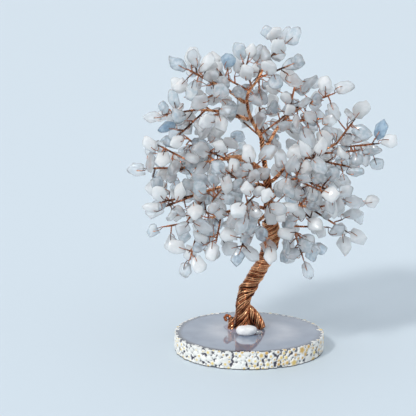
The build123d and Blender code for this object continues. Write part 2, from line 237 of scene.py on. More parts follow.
trunk_copper = copper("trunk_copper", tone(252, 194, 146), tone(170, 102, 68))
# Near-black copper for the tube under each rope's strands: painted shade in the grooves between them.
shaded_groove_copper = copper("shaded_groove_copper", tone(66, 34, 24), tone(28, 15, 11))
dulled_copper = copper("dulled_copper", tone(190, 116, 78), tone(96, 52, 36))
twig_copper = copper("twig_copper", tone(204, 134, 94), tone(70, 40, 28), 0.5)
rope_coppers = [trunk_copper, shaded_groove_copper, dulled_copper]
BRIGHT, SHADED_GROOVE, DULLED = range(len(rope_coppers))
chip_finishes = [
    chip_stone("clear_chip", tone(242, 246, 248), tone(255, 255, 255), 0.7, 0.06),
    chip_stone("milky_chip", tone(246, 248, 248), tone(255, 255, 254), 0.34, 0.1),
    chip_stone("grey_blue_chip", tone(214, 226, 233), tone(252, 254, 255), 0.66, 0.06),
    chip_stone("smoky_chip", tone(194, 204, 212), tone(246, 250, 251), 0.66, 0.06),
    chip_stone("blue_chip", tone(156, 182, 202), tone(204, 220, 232), 0.6, 0.06),
]
chip_shares = [0.36, 0.38, 0.18, 0.08, 0]
print("finishes", [f.name for f in chip_finishes], trunk_copper.name, twig_copper.name)

# %% [markdown]
# ## Wire and chips as mesh
# All wire here is a round tube along a line of points. A bench collects many tubes and chips and
# lays them down as one object, because a limb has hundreds of them. Curves with a bevel would do
# too, but plain mesh lets one wire run through a twist, over a stone, through its hole and back.


# %% The bench
def carry_frame(path):
    """Two directions square to a line at each of its points, which turn as little as possible."""
    ahead = np.gradient(path, axis=0)
    ahead /= np.linalg.norm(ahead, axis=1)[:, None]
    side = np.empty_like(path)
    upright = abs(ahead[0][2]) > 0.95
    first = np.cross(ahead[0], (1.0, 0.0, 0.0) if upright else (0.0, 0.0, 1.0))
    side[0] = first / np.linalg.norm(first)
    for i in range(1, len(path)):
        turned = side[i - 1] - ahead[i] * (side[i - 1] @ ahead[i])
        side[i] = turned / np.linalg.norm(turned)
    return side, np.cross(ahead, side)


class Bench:
    """Collects tubes and chips and lays them down as one object."""

    def __init__(self):
        self.points = []
        self.faces = []
        self.marks = []
        self.count = 0

    def grid(self, rows, mark=0):
        """A closed skin from rings of points: a fan at each end."""
        height, width = rows.shape[:2]
        start = self.count
        self.points.append(rows.reshape(-1, 3))
        self.count += height * width
        for r in range(height - 1):
            low, high = start + r * width, start + (r + 1) * width
            for c in range(width):
                d = (c + 1) % width
                self.faces.append((low + c, low + d, high + d, high + c))
        self.faces.append(tuple(range(start + width - 1, start - 1, -1)))
        self.faces.append(tuple(range(start + (height - 1) * width, start + height * width)))
        self.marks += [mark] * ((height - 1) * width + 2)

    def wire(self, path, radius, sides, mark=0):
        """A round wire along a line."""
        path = np.asarray(path, float)
        side, up = carry_frame(path)
        turn = np.arange(sides) * FULL_TURN / sides
        spokes = np.cos(turn)[None, :, None] * side[:, None] + np.sin(turn)[None, :, None] * up[:, None]
        self.grid(path[:, None] + spokes * np.broadcast_to(radius, len(path))[:, None, None], mark)

    def lay(self, name, finishes, slot):
        """The object with all that was collected."""
        mesh = bpy.data.meshes.new(name)
        mesh.from_pydata(np.concatenate(self.points).tolist(), [], self.faces)
        for finish in finishes:
            mesh.materials.append(finish)
        mesh.polygons.foreach_set("material_index", self.marks)
        mesh.polygons.foreach_set("use_smooth", [True] * len(mesh.polygons))
        mesh.update()
        piece = bpy.data.objects.new(name, mesh)
        scene.collection.objects.link(piece)
        return piece


# %% Lines: smoothing, twisting
def evenly(points, step):
    """Points spaced evenly along a line."""
    points = np.asarray(points, float)
    spans = np.linalg.norm(np.diff(points, axis=0), axis=1)
    reached = np.concatenate([[0], np.cumsum(spans)])
    places = np.linspace(0, reached[-1], max(4, int(reached[-1] / step) + 1))
    return np.stack([np.interp(places, reached, points[:, axis]) for axis in range(3)], axis=1)


def eased(points, step, rounds=3):
    """A line with its corners worn round, spaced evenly."""
    points = np.asarray(points, float)
    for _ in range(rounds):
        near, far = points[:-1], points[1:]
        cut = np.stack([near * 0.75 + far * 0.25, near * 0.25 + far * 0.75], axis=1).reshape(-1, 3)
        points = np.concatenate([points[:1], cut[1:-1], points[-1:]])
    return evenly(points, step)


def travelled(path):
    """How far along a line each of its points lies."""
    return np.concatenate([[0], np.cumsum(np.linalg.norm(np.diff(path, axis=0), axis=1))])


def strand(path, away, angle, turn_length):
    """A wire that winds round a line at a distance from it."""
    side, up = carry_frame(path)
    turn = angle + FULL_TURN * travelled(path) / turn_length
    away = np.broadcast_to(away, len(path))[:, None]
    return path + away * (np.cos(turn)[:, None] * side + np.sin(turn)[:, None] * up)


def rope(bench, path, wires, wire_radius, away, turn_length, sides):
    """Wires twisted together along a line."""
    for i in range(wires):
        bench.wire(strand(path, away, FULL_TURN * i / wires, turn_length), wire_radius, sides)


print("bench ready")

# %% [markdown]
# ## Reading the CAD pieces
# Each CAD node of a limb holds many separate solids. Welding its corners and following its triangles
# finds each solid again. A bar's corners lie in rings, and the middles of those rings are its line.


# %% Solids and their lines
def solids_of(node):
    """The separate solids of a CAD node: for each, its corners and its triangles."""
    mesh = frame["nodes"][node].data
    points = np.empty(len(mesh.vertices) * 3)
    mesh.vertices.foreach_get("co", points)
    points = points.reshape(-1, 3)
    keys = np.round(points * 1e5).astype(np.int64)
    _, first, welded = np.unique(keys, axis=0, return_index=True, return_inverse=True)
    points = points[first]
    mesh.calc_loop_triangles()
    triangles = np.empty(len(mesh.loop_triangles) * 3, np.int32)
    mesh.loop_triangles.foreach_get("vertices", triangles)
    triangles = welded.reshape(-1)[triangles].reshape(-1, 3)
    owner = np.arange(len(points))
    while True:
        lowest = owner.copy()
        np.minimum.at(lowest, triangles.ravel(), np.repeat(owner[triangles].min(1), 3))
        if (lowest == owner).all():
            break
        owner = lowest
    found = []
    for number in np.unique(owner):
        inside = np.flatnonzero(owner == number)
        renumber = {old: new for new, old in enumerate(inside)}
        mine = triangles[owner[triangles[:, 0]] == number]
        found.append((points[inside], np.array([[renumber[v] for v in row] for row in mine])))
    return found


def ring_middles(points, triangles, link):
    """The middles of a bar's rings of corners, in order along the bar."""
    near = np.linalg.norm(points[:, None] - points[None], axis=2) < link
    label = np.arange(len(points))
    for _ in range(len(points)):
        label = np.where(near, label[None], len(points)).min(1)
    names = list(np.unique(label))
    middles = np.array([points[label == name].mean(0) for name in names])
    place = np.array([names.index(v) for v in label])
    beside = {i: set() for i in range(len(names))}
    for row in triangles:
        for a, b in ((0, 1), (1, 2), (2, 0)):
            if place[row[a]] != place[row[b]]:
                beside[place[row[a]]].add(place[row[b]])
                beside[place[row[b]]].add(place[row[a]])
    order = [min(beside, key=lambda i: len(beside[i]))]
    while len(order) < len(names):
        following = [i for i in beside[order[-1]] if i not in order]
        if not following:
            break
        order.append(following[0])
    return middles[order]


def cut_middle(points, triangles, height):
    """The middle of a solid's section at a height."""
    ends = points[triangles]
    middles, weights = [], []
    for corner in ends[(ends[:, :, 2].min(1) < height) & (ends[:, :, 2].max(1) > height)]:
        hits = []
        for a, b in ((0, 1), (1, 2), (2, 0)):
            low, high = corner[a][2] - height, corner[b][2] - height
            if low * high < 0:
                hits.append(corner[a] + (corner[b] - corner[a]) * (low / (low - high)))
        if len(hits) == 2:
            middles.append((hits[0] + hits[1]) / 2)
            weights.append(np.linalg.norm(hits[1] - hits[0]) + 1e-9)
    return np.average(middles, axis=0, weights=weights)


print("solids on the left limb", len(solids_of("left_limb_stones")))

# %% [markdown]
# ## Agate slice
# The base is a thick slice of agate. Its top is polished like glass: grey-lavender with a pale cloud
# round the middle and a dark band at the rim. Its edge is left as it grew: white granules, many with
# an ochre heart, and dark gaps between. The crust is real relief. Round knobs are scattered over the
# unrolled edge, and each point of the edge is pushed out by the knob that stands highest there. The
# knobs are cut flat where the polished top meets them, which gives the scalloped line of the photo.

# %% Agate outline and knobs
slab_points = solids_of("agate_slice")[0][0]
slab_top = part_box("agate_slice")[1].z
outline_angles = np.arctan2(slab_points[:, 1], slab_points[:, 0])
outline_reach = np.hypot(slab_points[:, 0], slab_points[:, 1])
widest = outline_reach > 0.985 * np.array([
    outline_reach[np.abs(np.angle(np.exp(1j * (outline_angles - a)))) < 0.12].max() for a in outline_angles
])
order = np.argsort(outline_angles[widest])
known_angles, known_reach = outline_angles[widest][order], outline_reach[widest][order]


def slab_reach(angle):
    """How far the slab's edge lies from its middle."""
    return np.interp(angle, known_angles, known_reach, period=FULL_TURN)


crust_depth = 1.1 * MM
lip = 3.2 * MM
round_length = FULL_TURN * float(known_reach.mean())


def front_right(angle):
    """How near a direction is to the front right, where the crust is coarse and ochre."""
    return max(0.0, math.cos(angle - math.radians(-50)))


knob_tries = 12000
knobs = []
for _ in range(knob_tries):
    spot = (chance.uniform(0, round_length), chance.uniform(-0.5 * MM, slab_top + 0.6 * MM))
    coarse = front_right(FULL_TURN * spot[0] / round_length)
    size = chance.triangular(1.0, 2.8 + 1.8 * coarse, 1.8) * MM
    across = [min(abs(spot[0] - k[0]), round_length - abs(spot[0] - k[0])) for k in knobs]
    if all(math.hypot(a, spot[1] - k[1]) > 0.75 * (size + k[2]) for a, k in zip(across, knobs)):
        hearted = size > 1.3 * MM and chance.random() < 0.3 + 0.55 * coarse
        heart = chance.uniform(0.36, 0.6 + 0.25 * coarse) if hearted else 0
        ochre_share = chance.uniform(0, 0.3) + 0.7 * coarse * chance.random()
        whiteness = chance.uniform(0.86, 1.0)
        petal_turn = chance.uniform(0, FULL_TURN)
        knobs.append((*spot, size, heart, whiteness, ochre_share, petal_turn))
knobs = np.array(knobs)
print("crust knobs", len(knobs), "with an ochre heart", int((knobs[:, 3] > 0).sum()))


# %% Crust colours
def ease(value, low, high):
    """A smooth step from 0 to 1."""
    share = np.clip((value - low) / (high - low), 0, 1)
    return share * share * (3 - 2 * share)


def blend_tones(first, second, share):
    """Colours between two tones."""
    return first + (second - first) * np.asarray(share)[..., None]


dark_gap = np.array(tone(70, 66, 82))
rim_shade = np.array(tone(48, 50, 62))
agate_grey = np.array(tone(136, 149, 168))
agate_cloud = np.array(tone(198, 202, 212))
chalk = np.array(tone(246, 245, 240))
straw = np.array(tone(240, 216, 136))
ochre = np.array(tone(196, 134, 42))


def rim_darkness(angle):
    """How dark the polished face gets at its rim: most at the front left, least at the back right."""
    return 0.5 + 0.5 * np.cos(angle - math.radians(-122))


def face_colour(share, angle):
    """The polished face's colour at a share of the way out: grey, a cloud round the middle, a dark rim."""
    reach = slab_reach(angle) * share
    spots = zip(reach * np.cos(angle), reach * np.sin(angle))
    drift = np.array([noise.noise(Vector((x * 45, y * 45, 0.7))) for x, y in spots])
    ring = np.exp(-(((share - 0.44 + 0.16 * drift) / 0.2) ** 2)) * (0.62 + 0.38 * np.cos(2 * angle))
    cloudy = np.clip(0.85 * ring + 0.25 * drift, 0, 1)
    colour = blend_tones(np.tile(agate_grey, (len(angle), 1)), agate_cloud, cloudy)
    shade = ease(share + 0.01 * drift, 0.9, 0.97) * (0.1 + 0.9 * rim_darkness(angle))
    return blend_tones(colour, rim_shade, shade)


def knob_colour(near, knob, gap):
    """The colour at a distance from a knob's middle, as a share of its size."""
    white = chalk * knob[:, 4][:, None]
    heart = blend_tones(straw, ochre, knob[:, 5])
    warm = (1 - ease(near, knob[:, 3] * 0.4, knob[:, 3] * 1.25 + 1e-6)) * (knob[:, 3] > 0)
    colour = blend_tones(white, heart, warm)
    return blend_tones(colour, gap, ease(near, 0.93, 1.04))


# %% Crust relief
crust_columns, side_rows, lip_rows = 800, 30, 9
column_angles = np.arange(crust_columns) * FULL_TURN / crust_columns
column_reach = slab_reach(column_angles)
crust_rows, crust_paint = [], []
each = np.arange(crust_columns)
for row in range(side_rows + lip_rows):
    on_side = row < side_rows
    share = row / (side_rows - 1) if on_side else (row - side_rows + 1) / lip_rows
    unrolled = slab_top * share if on_side else slab_top + lip * share
    along = column_angles[:, None] / FULL_TURN * round_length - knobs[None, :, 0]
    along = (along + round_length / 2) % round_length - round_length / 2
    petals = 5 * np.arctan2(unrolled - knobs[None, :, 1], along) + knobs[None, :, 6]
    apart = np.hypot(along, unrolled - knobs[None, :, 1]) / knobs[None, :, 2] * (1 + 0.14 * np.cos(petals))
    rise = np.sqrt(np.clip(1 - apart**2, 0, 1)) * knobs[None, :, 2]
    best = np.where(rise.max(1) > 0, rise.argmax(1), apart.argmin(1))
    bulge = np.minimum(rise[each, best] * 0.55, crust_depth)
    reach = column_reach - crust_depth + bulge
    if on_side:
        gap = np.tile(dark_gap, (crust_columns, 1))
        reach = reach + 0.35 * MM * math.sin(math.pi * share)
    else:
        reach = np.minimum(column_reach - crust_depth * share - lip * share, reach)
        gap = face_colour(np.minimum(reach / (column_reach - 0.9 * MM), 1), column_angles)
    colour = knob_colour(apart[each, best], knobs[best], gap)
    # The lowest strip of the crust, where the slab stands on the floor, is painted in the dark rim colour.
    if on_side and share < 0.045:
        colour = np.tile(rim_shade, (crust_columns, 1))
    colour[:, 3] = 1
    sunk = 0 if on_side else 0.4 * MM * ease(apart[each, best], 0.9, 1.0)
    level = slab_top * (share if on_side else 1) - sunk + np.zeros(crust_columns)
    crust_rows.append(np.stack([reach * np.cos(column_angles), reach * np.sin(column_angles), level], axis=1))
    crust_paint.append(colour)
bench = Bench()
bench.grid(np.array(crust_rows))
bench.faces.pop()
bench.marks.pop()


def paint_points(piece, layer_name, colours):
    """Keep a colour at each point of a mesh."""
    layer = piece.data.color_attributes.new(layer_name, "FLOAT_COLOR", "POINT")
    layer.data.foreach_set("color", np.asarray(colours, np.float32).ravel())


finish, nodes, links, shader = new_finish("agate_crust")
links.new(kept_colour(nodes, "crust_colour"), shader.inputs["Base Color"])
even(shader, {"Roughness": 0.48})
rough_skin(nodes, links, shader, speckle(nodes, links, 1400, 4), 0.35, 0.0008)
agate_crust = bench.lay("agate_crust", [finish], "agate")
paint_points(agate_crust, "crust_colour", np.array(crust_paint))
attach(agate_crust, "stand")
print("agate crust", len(agate_crust.data.vertices), "points")

# %% Polished top
top_columns, top_rows = 160, 40
top_angles = np.arange(top_columns) * FULL_TURN / top_columns
top_reach = slab_reach(top_angles) - 0.9 * MM
disc_rows, disc_paint = [], []
for share in np.linspace(1.0, 0.02, top_rows):
    x, y = top_reach * share * np.cos(top_angles), top_reach * share * np.sin(top_angles)
    colour = face_colour(np.full(top_columns, share), top_angles)
    colour[:, 3] = 1
    disc_rows.append(np.stack([x, y, np.full(top_columns, slab_top - 0.06 * MM)], axis=1))
    disc_paint.append(colour)
under_rows = [row * (1, 1, 0) for row in disc_rows[::-1]]
bench = Bench()
bench.grid(np.array(under_rows + disc_rows))

finish, nodes, links, shader = new_finish("polished_agate")
vein_stops = [(0.3, tone(232, 232, 236)), (0.7, tone(255, 255, 255))]
veins = ramp(nodes, links, speckle(nodes, links, 90, 6), vein_stops)
links.new(tinted(nodes, links, veins, "agate_colour"), shader.inputs["Base Color"])
even(shader, {"Roughness": 0.04, "IOR": 1.9, "Coat Weight": 1.0, "Coat Roughness": 0.02})
agate_top = bench.lay("agate_polished_slab", [finish], "agate")
paint_points(agate_top, "agate_colour", np.array(disc_paint[::-1] + disc_paint))
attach(agate_top, "stand")
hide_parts("agate_slice")
print("polished top", len(agate_top.data.vertices), "points")

# %% [markdown]
# ## Pebble, glue and the small chip
# A white tumbled pebble sits in clear glue in front of the trunk's foot, with a sliver of grey chip
# beside it. A pebble is a sphere pressed flat and worn unevenly, so noise moves its skin a little.


# %% Pebble, glue, small chip
def worn(rows, amount, size, seed):
    """A skin moved in and out a little, as tumbling leaves it."""
    shift = Vector((seed * 3.7, seed * 1.9, seed * 2.3))
    flat = rows.reshape(-1, 3)
    middle = flat.mean(0)
    swell = [1 + amount * noise.noise(Vector(p) / size + shift) for p in flat]
    return (middle + (flat - middle) * np.array(swell)[:, None]).reshape(rows.shape)


def pebble_skin(half, columns, rows, power=0.8):
    """A sphere pressed to three half sizes, with fuller sides."""
    lift = np.linspace(-math.pi / 2 * 0.985, math.pi / 2 * 0.985, rows)[:, None]
    turn = (np.arange(columns) * FULL_TURN / columns)[None]
    out = np.cos(lift) ** power
    skin = np.stack([out * np.cos(turn), out * np.sin(turn), np.sin(lift) + 0 * turn], axis=2)
    return skin * np.array(half)


finish, nodes, links, shader = new_finish("white_pebble_stone")
pebble_stops = [(0.3, tone(226, 226, 228)), (0.65, tone(252, 252, 250))]
links.new(ramp(nodes, links, speckle(nodes, links, 260, 4), pebble_stops), shader.inputs["Base Color"])
even(shader, {"Roughness": 0.32, "Subsurface Weight": 0.25})
even(shader, {"Subsurface Radius": (1.0, 1.0, 1.0), "Subsurface Scale": 0.002})
rough_skin(nodes, links, shader, speckle(nodes, links, 900, 4), 0.15, 0.0008)
low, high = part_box("white_pebble")
bench = Bench()
bench.grid(worn(pebble_skin((high - low) / 2, 36, 19, 0.62), 0.2, 5 * MM, 3) + np.array((low + high) / 2))
pebble = bench.lay("tumbled_white_pebble", [finish], "white_stone")
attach(pebble, "stand")
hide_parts("white_pebble")

finish, nodes, links, shader = new_finish("set_glue")
glue_stops = [(0.3, tone(180, 176, 196)), (0.7, tone(204, 202, 216))]
links.new(ramp(nodes, links, speckle(nodes, links, 120, 3), glue_stops), shader.inputs["Base Color"])
even(shader, {"Transmission Weight": 0.4, "Roughness": 0.05, "IOR": 1.48})
low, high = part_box("glue_puddle")
middle, half = (low + high) / 2, (high - low) / 2
bench = Bench()
glue_columns = 48
turn = np.arange(glue_columns) * FULL_TURN / glue_columns
wobble = 1 + 0.05 * np.sin(3 * turn + 0.4) + 0.03 * np.sin(5 * turn)
puddle_rows = []
for share in np.linspace(1.0, 0.03, 12):
    thick = (high.z - low.z) * 0.9 * (1 - share**2) + 0.05 * MM
    puddle_rows.append(np.stack([
        middle.x + half.x * 0.95 * share * wobble * np.cos(turn),
        middle.y + half.y * 0.95 * share * wobble * np.sin(turn),
        np.full(len(turn), slab_top + thick),
    ], axis=1))
flat_rows = [row * (1, 1, 0) + (0, 0, slab_top + 0.02 * MM) for row in puddle_rows[::-1]]
bench.grid(np.array(flat_rows + puddle_rows))
glue = bench.lay("clear_glue_puddle", [finish], "clear_glue")
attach(glue, "stand")
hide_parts("glue_puddle")

bench = Bench()
sliver = worn(pebble_skin((2.4 * MM, 1.8 * MM, 1.5 * MM), 20, 11), 0.25, 3 * MM, 5)
bench.grid(sliver + np.array((5.6 * MM, -7.2 * MM, slab_top + 1.5 * MM)))
small_chip = bench.lay("small_foot_chip", [chip_finishes[3]], "gemstone")
paint_points(small_chip, "chip_tint", np.ones((len(small_chip.data.vertices), 4)))
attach(small_chip, "stand")
print("pebble, glue and sliver laid")

# %% [markdown]
# ## Trunk
# All the wires of the crown come down the trunk as one twisted bundle of fine strands, laid steep as in
# a rope. Over the upper part more wire is wound, nearly square to the trunk. Each strand is a helix
# round the middle line of the CAD core, and the tangent of its lay angle says how fast it turns.
# A bit of noise in each strand's distance keeps it hand made. At the foot the strands spread. The
# bundle under the strands is a near-black copper: painted shade in the grooves between bright strands.

# %% Trunk line
core_points, core_triangles = solids_of("trunk_core")[0]
core_low, core_high = core_points[:, 2].min(), core_points[:, 2].max()
levels = np.linspace(core_low + 0.2 * MM, core_high - 2.5 * MM, 40)
trunk_line = evenly([cut_middle(core_points, core_triangles, z) for z in levels], 0.5 * MM)
trunk_run = travelled(trunk_line)
print("trunk length mm", round(trunk_run[-1] / MM, 1))


# %% Strands of a rope
def laid_rope(work, line, strands, wire, away, lay, seed):
    """Strands wound along a line at a lay angle, each a little uneven, and every third one dulled."""
    run = travelled(line)
    side, up = carry_frame(line)
    away = np.broadcast_to(away, len(line))
    turns = np.cumsum(np.gradient(run) * np.tan(np.broadcast_to(lay, len(line))) / away)
    for i in range(strands):
        uneven = np.array([noise.noise(Vector((s * 160, i * 7.3, seed))) for s in run])
        turn = (turns + FULL_TURN * i / strands + 0.11 * uneven)[:, None]
        reach = (away + 0.6 * wire * uneven)[:, None]
        path = line + reach * (np.cos(turn) * side + np.sin(turn) * up)
        work.wire(path, wire, 6, DULLED if i % 3 == 1 else BRIGHT)


trunk_strands = 16
climb = ease(trunk_run, 0.3 * trunk_run[-1], 0.45 * trunk_run[-1])
spread_foot = 1.6 * MM * np.exp(-trunk_run / (4.5 * MM))
bumps = np.array([noise.noise(Vector((s * 130, 0.3, 0.9))) for s in trunk_run]) * 0.5 * MM
trunk_away = 4.7 * MM + spread_foot + bumps - 0.6 * MM * climb
bench = Bench()
laid_rope(bench, trunk_line, trunk_strands, 0.5 * MM, trunk_away, math.radians(43), 0.5)
# The near-black tube under the strands is painted shade in the grooves.
bench.wire(trunk_line, trunk_away - 0.25 * MM, 16, SHADED_GROOVE)
trunk_rope = bench.lay("trunk_rope", rope_coppers, "copper_wire")
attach(trunk_rope, "stand")
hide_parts("trunk_core")

wound_from = int(0.32 * len(trunk_line))
winding_line = evenly(trunk_line[wound_from:], 0.25 * MM)
wound_run = trunk_run[wound_from] + travelled(winding_line)
widening = 0.75 * MM + 0.5 * MM * ease(wound_run, 0.6 * trunk_run[-1], trunk_run[-1])
winding_away = np.interp(wound_run, trunk_run, trunk_away) + widening
winding_lay = np.radians(55 + 16 * ease(wound_run, 0.3 * trunk_run[-1], 0.55 * trunk_run[-1]))
bench = Bench()
laid_rope(bench, winding_line, 9, 0.48 * MM, winding_away, winding_lay, 0.5)
laid_rope(bench, winding_line, 3, 0.46 * MM, winding_away + 0.4 * MM, winding_lay - 0.16, 1.7)
# The near-black tube under the winding is painted shade in the grooves.
bench.wire(winding_line, winding_away - 0.3 * MM, 16, SHADED_GROOVE)
trunk_winding = bench.lay("trunk_wound_wire", rope_coppers, "copper_wire")
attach(trunk_winding, "stand")
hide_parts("trunk_winding")
print("strands", trunk_strands, "points", len(trunk_rope.data.vertices) + len(trunk_winding.data.vertices))

# %% [markdown]
# ## Upper trunk, leader and roots
# Above the crotch the rope gets thinner each time that a limb leaves it. The roots are more of the
# same strands: they leave the trunk a little above the slab, swell, and end on the slab. One spare
# end at the left is curled into a small loop.


# %% Upper trunk and leader
def trunk_part(name, node, strands, wire, away, lay, seed):
    """A rope along a CAD bar of the trunk, from its low end up."""
    line = eased(ring_middles(*solids_of(node)[0], 3.2 * MM), 0.6 * MM)
    if line[0][2] > line[-1][2]:
        line = line[::-1]
    line = np.concatenate([line[:1] - (line[1] - line[0]) * 2, line])
    work = Bench()
    laid_rope(work, line, strands, wire, away, math.radians(lay), seed)
    # The near-black tube under the strands is painted shade in the grooves.
    work.wire(line, away - 0.1 * MM, 12, SHADED_GROOVE)
    piece = work.lay(name, rope_coppers, "copper_wire")
    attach(piece, "stand")
    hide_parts(node)
    return line


upper_line = trunk_part("upper_trunk_rope", "upper_trunk", 7, 0.58 * MM, 2.4 * MM, 42, 3.1)
leader_line = trunk_part("leader_rope", "leader", 4, 0.5 * MM, 1.4 * MM, 44, 4.7)
print("upper trunk", upper_line[0].round(4), upper_line[-1].round(4))

# %% Roots
foot = trunk_line[0]
for number, node in enumerate(("root_right", "root_back", "root_back_left")):
    points = solids_of(node)[0][0]
    outward = points[:, :2] - foot[:2]
    farthest = np.hypot(*outward.T).argmax()
    out = np.append(outward[farthest] / np.linalg.norm(outward[farthest]), 0)
    reach = np.linalg.norm(outward[farthest])
    rise = points[:, 2].max() - slab_top
    up = np.array((0, 0, 1.0))
    route = [(1.2 * MM, rise), (0.36 * reach, 0.72 * rise)]
    route += [(0.66 * reach, 0.36 * rise), (reach - 2.2 * MM, 0.4 * MM)]
    below = foot + up * (slab_top - foot[2])
    line = eased([below + out * along + up * height for along, height in route], 0.5 * MM)
    share = travelled(line) / travelled(line)[-1]
    swell = 1.6 * MM + 1.9 * MM * np.sin(math.pi * np.clip(0.15 + 0.72 * share, 0, 1))
    work = Bench()
    laid_rope(work, line, 10, 0.5 * MM, swell, math.radians(44), 6.0 + number)
    # The near-black tube under the strands is painted shade in the grooves.
    work.wire(line, swell - 0.15 * MM, 12, SHADED_GROOVE)
    root = work.lay(node + "_rope", rope_coppers, "copper_wire")
    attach(root, "stand")
    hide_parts(node)

low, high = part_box("root_left_loop")
loop_wire = 0.72 * MM
loop_radius = 1.75 * MM
stalk_foot = np.array((high.x - 2.2 * MM, (low.y + high.y) / 2, slab_top))
curl_middle = np.array((low.x + loop_radius + 1.5 * MM, stalk_foot[1], high.z - loop_radius - 1.0 * MM))
stalk_top = np.array((high.x - 1.6 * MM, stalk_foot[1], curl_middle[2] + 0.4 * MM))
line = evenly([stalk_foot, stalk_top], 0.3 * MM)
work = Bench()
laid_rope(work, line, 6, 0.56 * MM, 1.75 * MM, math.radians(40), 12.0)
# The near-black tube under the strands is painted shade in the grooves.
work.wire(line, 1.65 * MM, 8, SHADED_GROOVE)
sweep = np.linspace(-0.3 * math.pi, 1.45 * math.pi, 44)
curl = curl_middle + loop_radius * np.stack([np.cos(sweep), 0.15 * np.sin(sweep), np.sin(sweep)], axis=1)
rope(work, evenly([stalk_top - (0, 0, 0.8 * MM), *curl], 0.3 * MM), 2, loop_wire, 0.5 * MM, 4 * MM, 7)
loop = work.lay("root_left_loop_rope", rope_coppers, "copper_wire")
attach(loop, "stand")
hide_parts("root_left_loop")
print("roots laid")

# %% [markdown]
# ## Limbs, sprigs and twigs
# A limb is a twisted bundle that leaves the trunk at a fork, where the soft copper bends. Its rope
# begins a little back inside the trunk. A sprig is a thinner twist. A twig is one wire: it goes out
# along the stone, down through the hole, back under the stone and into its own twist.


# %% One wire through a stone
def unit(vector):
    """A vector of length one."""
    return vector / np.linalg.norm(vector)


class Seat:
    """Where a stone sits, read from its CAD twig and stone."""

    def __init__(self, root, bend, tip, corners):
        self.root, self.bend = root, bend
        self.normal = unit(bend - tip)
        heading = unit(bend - root)
        self.along = unit(heading - self.normal * (heading @ self.normal))
        self.side = np.cross(self.normal, self.along)
        depths = (corners - bend) @ self.normal
        self.depth = depths.max() - depths.min()
        self.middle = bend + self.normal * (depths.max() + depths.min()) / 2
        belt = np.abs(depths - (depths.max() + depths.min()) / 2) < 0.1 * self.depth
        spokes = corners[belt] - self.middle
        self.rim = np.stack([spokes @ self.along, spokes @ self.side], axis=1)

    def place(self, x, y, z):
        """A point of the stone's own space."""
        return self.middle + self.along * x + self.side * y + self.normal * z


def twig_wire(seat, wire, tuck):
    """The line of one wire: twist, over the stone, through it, back under it and into the twist."""
    heading = unit(seat.bend - seat.root)
    start = seat.root - heading * tuck
    near = seat.rim[:, 0].min()
    top, under = seat.depth / 2 + wire * 1.1, -seat.depth / 2 - wire * 1.1
    over = seat.place(0.55 * near, 0, top + 0.9 * MM)
    below = seat.place(0.6 * near, 0, under - 0.1 * MM)
    behind = seat.place(near - 0.8 * MM, 0, -0.1 * seat.depth)
    knot = start + heading * (0.5 * np.linalg.norm(seat.bend - start))
    twist_line = evenly([start, knot], 0.32 * MM)
    out = strand(twist_line, wire * 1.05, 0.0, 2.5 * MM)
    back = strand(twist_line, wire * 1.05, math.pi, 2.5 * MM)[::-1]
    crook = wire * 1.6
    loop = eased([
        out[-1], over, seat.place(-crook, 0, top + 0.15 * MM), seat.place(0, 0, top - 0.2 * MM),
        seat.place(0, 0, under + 0.2 * MM), seat.place(-crook, 0, under), below, behind, back[0],
    ], 0.45 * MM, 2)
    return np.concatenate([out[:-1], loop, back[1:]])


# %% A tumbled chip
def chip_skin(seat, seed, columns=24, rows=13):
    """A worn stone with the outline of its CAD stone."""
    middle = seat.rim.mean(0)
    spokes = seat.rim - middle
    bearing = np.arctan2(spokes[:, 1], spokes[:, 0])
    order = np.argsort(bearing)
    bearing, length = bearing[order], np.linalg.norm(spokes[order], axis=1)
    bearing = np.concatenate([bearing, [bearing[0] + FULL_TURN]])
    length = np.concatenate([length, length[:1]])
    turn = bearing[0] + np.arange(columns) * FULL_TURN / columns
    corner = np.clip(np.searchsorted(bearing, turn, "right") - 1, 0, len(bearing) - 2)
    first, second = length[corner], length[corner + 1]
    wide = bearing[corner + 1] - bearing[corner]
    share = (turn - bearing[corner]) / wide
    soft = first + (second - first) * (1 - np.cos(math.pi * share)) / 2
    edge = first * np.sin(share * wide) + second * np.sin((1 - share) * wide)
    soft = 0.2 * soft + 0.8 * first * second * np.sin(wide) / edge
    lift = np.linspace(-math.pi / 2 * 0.97, math.pi / 2 * 0.97, rows)[:, None]
    out = np.cos(lift) ** 0.72
    x = middle[0] + out * soft * np.cos(turn)
    y = middle[1] + out * soft * np.sin(turn)
    z = seat.depth / 2 * np.sign(np.sin(lift)) * np.abs(np.sin(lift)) ** 0.9 + 0 * x
    skin = worn(np.stack([1.06 * x, 1.06 * y, z], axis=2), 0.18, 4.5 * MM, seed)
    flats = random.Random(seed)
    for _ in range(6):
        out = unit(np.array([flats.gauss(0, 1), flats.gauss(0, 1), flats.gauss(0, 0.7)]))
        high = skin @ out
        skin = skin - out * np.maximum(high - high.max() * flats.uniform(0.7, 0.94), 0)[..., None]
    return seat.middle + skin[..., :1] * seat.along + skin[..., 1:2] * seat.side + skin[..., 2:] * seat.normal


# %% All limbs
limb_names = sorted(node[: -len("_limb_stem")] for node in frame["nodes"] if node.endswith("_limb_stem"))
forks = {joint["child"]: joint for joint in frame["joints"]}
seats = {}
sprig_lines = {}
for limb in limb_names:
    stone_corners = [points for points, _ in solids_of(f"{limb}_limb_stones")]
    stone_middles = np.array([points.mean(0) for points in stone_corners])
    seats[limb], sprig_lines[limb] = [], []
    for points, triangles in solids_of(f"{limb}_limb_twigs"):
        line = ring_middles(points, triangles, 2.4 * MM)
        if len(line) == 2:
            sprig_lines[limb].append(line)
            continue
        gaps = [np.linalg.norm(stone_middles - (line[1] + end) / 2, axis=1) for end in (line[0], line[2])]
        if gaps[0].min() < gaps[1].min():
            line, gaps = line[::-1], gaps[::-1]
        seats[limb].append(Seat(*line, stone_corners[int(gaps[1].argmin())]))
print("stones read", sum(map(len, seats.values())), "sprigs", sum(map(len, sprig_lines.values())))
